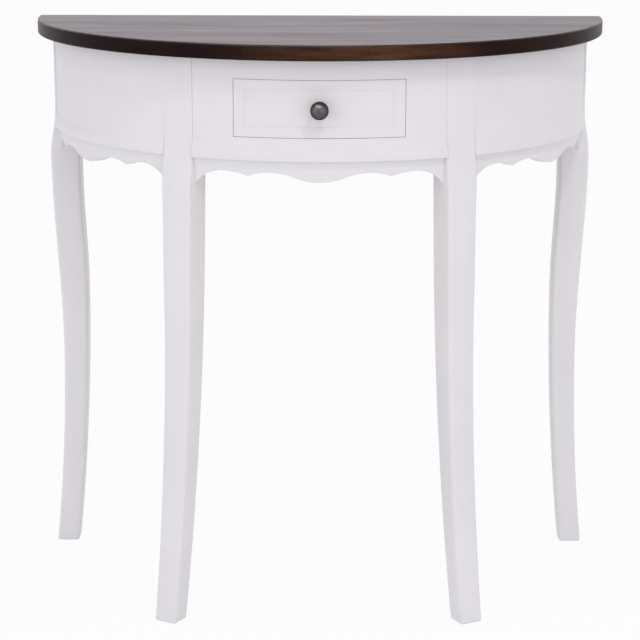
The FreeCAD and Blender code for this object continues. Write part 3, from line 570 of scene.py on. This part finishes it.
facing = add_node(tree, "ShaderNodeTexCoord").outputs["Normal"]
upward = add_node(tree, "ShaderNodeSeparateXYZ", {"Vector": facing}).outputs["Z"]
streaks = speckle(tree, moved, streak_lines, 9.0, 0.62, 0.7)
figure = speckle(tree, moved, figure_size, 4.0, 0.5, 1.6)
pores = speckle(tree, moved, pore_lines, 2.0)
thin = speckle(tree, place, thin_patches, 3.0)
rubbed = speckle(tree, moved, rubbed_lines, 5.0, 0.62, 0.5)
stain = blend(tree, spread(tree, streaks, 0.0, 1.0), stain_dark, stain_mid)
# Painted highlight: a warmer brown that follows the figure and thin patches of stain, laid on
# the front edge only, strongest just right of centre and absent at the left end
thin_stain_and_painted_highlight = spread(tree, thin, 0.3, 1.0)
for share in (
    spread(tree, figure, 0.5, 1.0),
    spread(tree, axes["X"], 0.0, 1.0, painted_highlight_start, painted_highlight_full),
    spread(tree, axes["X"], 1.0, 0.1, painted_highlight_fade, painted_highlight_stop),
    spread(tree, upward, 1.0, 0.12, 0.3, 0.95),
):
    thin_stain_and_painted_highlight = work_out(tree, "MULTIPLY", thin_stain_and_painted_highlight, share)
stain = blend(tree, thin_stain_and_painted_highlight, stain, warm_stain_and_painted_highlight)
# Painted sheen: faces that look up are coloured a paler mauve, streaked with the grain, standing
# in for the sheen on the varnished top
grain_in_painted_sheen = blend(tree, spread(tree, streaks, 0.0, 1.0, 0.34, 0.66), painted_sheen_deep, painted_sheen_pale)
grain_in_painted_sheen = blend(tree, spread(tree, figure, 0.0, 0.5), grain_in_painted_sheen, painted_sheen_deep)
stain = blend(tree, spread(tree, upward, 0.0, 0.85, 0.3, 0.95), stain, grain_in_painted_sheen)
stain = blend(tree, spread(tree, tone, 0.0, 0.3, 0.0, 1.0), stain, stain_mid)
stain = blend(tree, spread(tree, pores, 0.55, 0.0, 0.30, 0.44), stain, stain_dark)
tree.links.new(stain, shader.inputs["Base Color"])
tree.links.new(spread(tree, streaks, 0.33, 0.39), shader.inputs["Roughness"])
raise_grain(tree, shader, work_out(tree, "MULTIPLY_ADD", pores, 0.35, streaks), 0.10, 0.0005)
shader.inputs["IOR"].default_value = varnish_bend
shader.inputs["Specular Tint"].default_value = varnish_tint
flat = spread(tree, upward, 0.0, 1.0, 0.20, 0.90)
waxing = work_out(tree, "MULTIPLY", flat, spread(tree, rubbed, 0.34, 0.74))
tree.links.new(waxing, shader.inputs["Coat Weight"])
shader.inputs["Coat Roughness"].default_value = wax_roughness
shader.inputs["Coat Tint"].default_value = wax_tint
finish_node(top_wood, "top_panel")

# Drawer front: solid wood bowed to the frieze, with a bevelled border round a sunk field,
# painted along the curve. The outer arris is eased so that it clears the opening.
drawer_low, drawer_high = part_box("drawer_front")
drawer_round = 0.0009
drawer_paint = 0.00055
end_slack = 0.0003
bow_slack = 0.0004


def on_drawer_edge(edge):
    middle = (edge.verts[0].co + edge.verts[1].co) / 2
    outside = all(abs(reach_of(end.co) - frieze_reach) < bow_slack for end in edge.verts)
    from_end = min(abs(middle.x - drawer_low.x), abs(middle.x - drawer_high.x))
    from_level = min(abs(middle.z - drawer_low.z), abs(middle.z - drawer_high.z))
    return outside and min(from_end, from_level) < end_slack


drawer_arris = (drawer_round, on_drawer_edge)
ease_edges("drawer_front", "drawer", frieze_paint, drawer_arris, build_up=drawer_paint)

# Drawer box: planed softwood sides and back, doweled and housed, with a thin board let into
# grooves for the bottom.
board_pale = (0.68, 0.52, 0.34)
board_deep = (0.56, 0.39, 0.22)
finish_node(pine_inwards, "drawer_left_side", "drawer_right_side", "drawer_dowels")
finish_node(pine_across, "drawer_back")
finish_node(bare_wood("thin_board", strokes_across, board_pale, board_deep), "drawer_bottom")

# Knob: a cast ball on a short neck, aged to a dark pewter and rubbed brighter where hands
# touch it. A screw from inside the drawer holds it.
pewter_dark = (0.096, 0.084, 0.084)
pewter_rubbed = (0.136, 0.122, 0.122)
pewter_rim = (0.2, 0.18, 0.19, 1.0)
patina_size = (420.0, 420.0, 420.0)
grit_size = (900.0, 900.0, 900.0)
knob_metal, tree, shader = new_finish("aged_pewter")
place = place_on_piece(tree)
patina = speckle(tree, place, patina_size, 4.0, 0.6)
grit = speckle(tree, place, grit_size, 2.0)
colour = blend(tree, spread(tree, patina, 0.0, 1.0), pewter_dark, pewter_rubbed)
tree.links.new(colour, shader.inputs["Base Color"])
shader.inputs["Metallic"].default_value = 1.0
tree.links.new(spread(tree, patina, 0.40, 0.32), shader.inputs["Roughness"])
raise_grain(tree, shader, work_out(tree, "MULTIPLY_ADD", grit, 0.4, patina), 0.08, 0.0003)
shader.inputs["Specular Tint"].default_value = pewter_rim
finish_node(knob_metal, "knob")

# Studio: a plain white floor and room, with two large low lamps in front, a small high one and
# a high white card that shows only in gloss.
floor_reach = 30.0
floor_colour = (0.92, 0.915, 0.92, 1.0)
floor_roughness = 0.9
floor_glow = 0.92
room_colour = (1.0, 0.993, 1.0, 1.0)
room_light = 0.80
lamp_aim = Vector((0, 0, 0.45))
deselect()
bpy.ops.mesh.primitive_plane_add(size=2 * floor_reach, location=(0, 0, 0))
floor = bpy.context.object
floor.name = "studio_floor"
floor_white, tree, shader = new_finish("studio_white")
shader.inputs["Base Color"].default_value = floor_colour
shader.inputs["Roughness"].default_value = floor_roughness


def seen_directly(tree):
    path = add_node(tree, "ShaderNodeLightPath").outputs
    seen = work_out(tree, "MAXIMUM", path["Is Camera Ray"], path["Is Glossy Ray"])
    return work_out(tree, "MAXIMUM", seen, path["Is Transmission Ray"])


def hang_lamp(place, width, height, power, lights_paint=True):
    lamp = bpy.data.lights.new("soft_lamp", "AREA")
    lamp.shape = "RECTANGLE"
    lamp.size = width
    lamp.size_y = height
    lamp.energy = power
    holder = bpy.data.objects.new("soft_lamp", lamp)
    holder.location = place
    holder.visible_diffuse = lights_paint
    holder.rotation_euler = (lamp_aim - holder.location).to_track_quat("-Z", "Y").to_euler()
    bpy.context.scene.collection.objects.link(holder)


glow = add_node(tree, "ShaderNodeEmission", {"Color": room_colour, "Strength": 1.0})
mix = add_node(
    tree,
    "ShaderNodeMixShader",
    {
        0: work_out(tree, "MULTIPLY", seen_directly(tree), floor_glow),
        1: shader.outputs["BSDF"],
        2: glow.outputs["Emission"],
    },
)
tree.links.new(mix.outputs["Shader"], tree.nodes["Material Output"].inputs["Surface"])
floor.data.materials.append(floor_white)

world = bpy.data.worlds.new("studio_room")
world.use_nodes = True
bpy.context.scene.world = world
tree = world.node_tree
strength = work_out(tree, "MULTIPLY_ADD", seen_directly(tree), 1.0 - room_light, room_light)
tree.nodes["Background"].inputs["Color"].default_value = room_colour
tree.links.new(strength, tree.nodes["Background"].inputs["Strength"])

hang_lamp(place=(-2.0, -1.9, 1.0), width=2.4, height=1.6, power=10.0)
hang_lamp(place=(1.5, -2.3, 1.0), width=2.4, height=1.6, power=7.4)
hang_lamp(place=(0.60, -1.30, 2.4), width=0.22, height=0.22, power=6.0)
hang_lamp(place=(-0.55, -0.95, 2.4), width=1.8, height=0.75, power=25.0, lights_paint=False)

# Camera: on a stand in front of the table, a little above the top, with a long lens and
# tilted down to take in the feet.
camera_place = (0.0053, -2.8433, 1.0625)
camera_lens = 119.25
camera_film = 36.0
camera_tilt = math.radians(13.559)
camera_turn = math.radians(0.0872)
camera_roll = math.radians(0.12)
camera = bpy.data.cameras.new("camera")
camera.sensor_width = camera_film
camera.lens = camera_lens
viewer = bpy.data.objects.new("camera", camera)
viewer.location = camera_place
aim = Euler((math.pi / 2 - camera_tilt, 0, camera_turn)).to_matrix()
viewer.rotation_euler = (aim @ Matrix.Rotation(camera_roll, 3, "Z")).to_euler()
bpy.context.scene.collection.objects.link(viewer)
bpy.context.scene.camera = viewer
bpy.context.scene.view_settings.view_transform = "Standard"
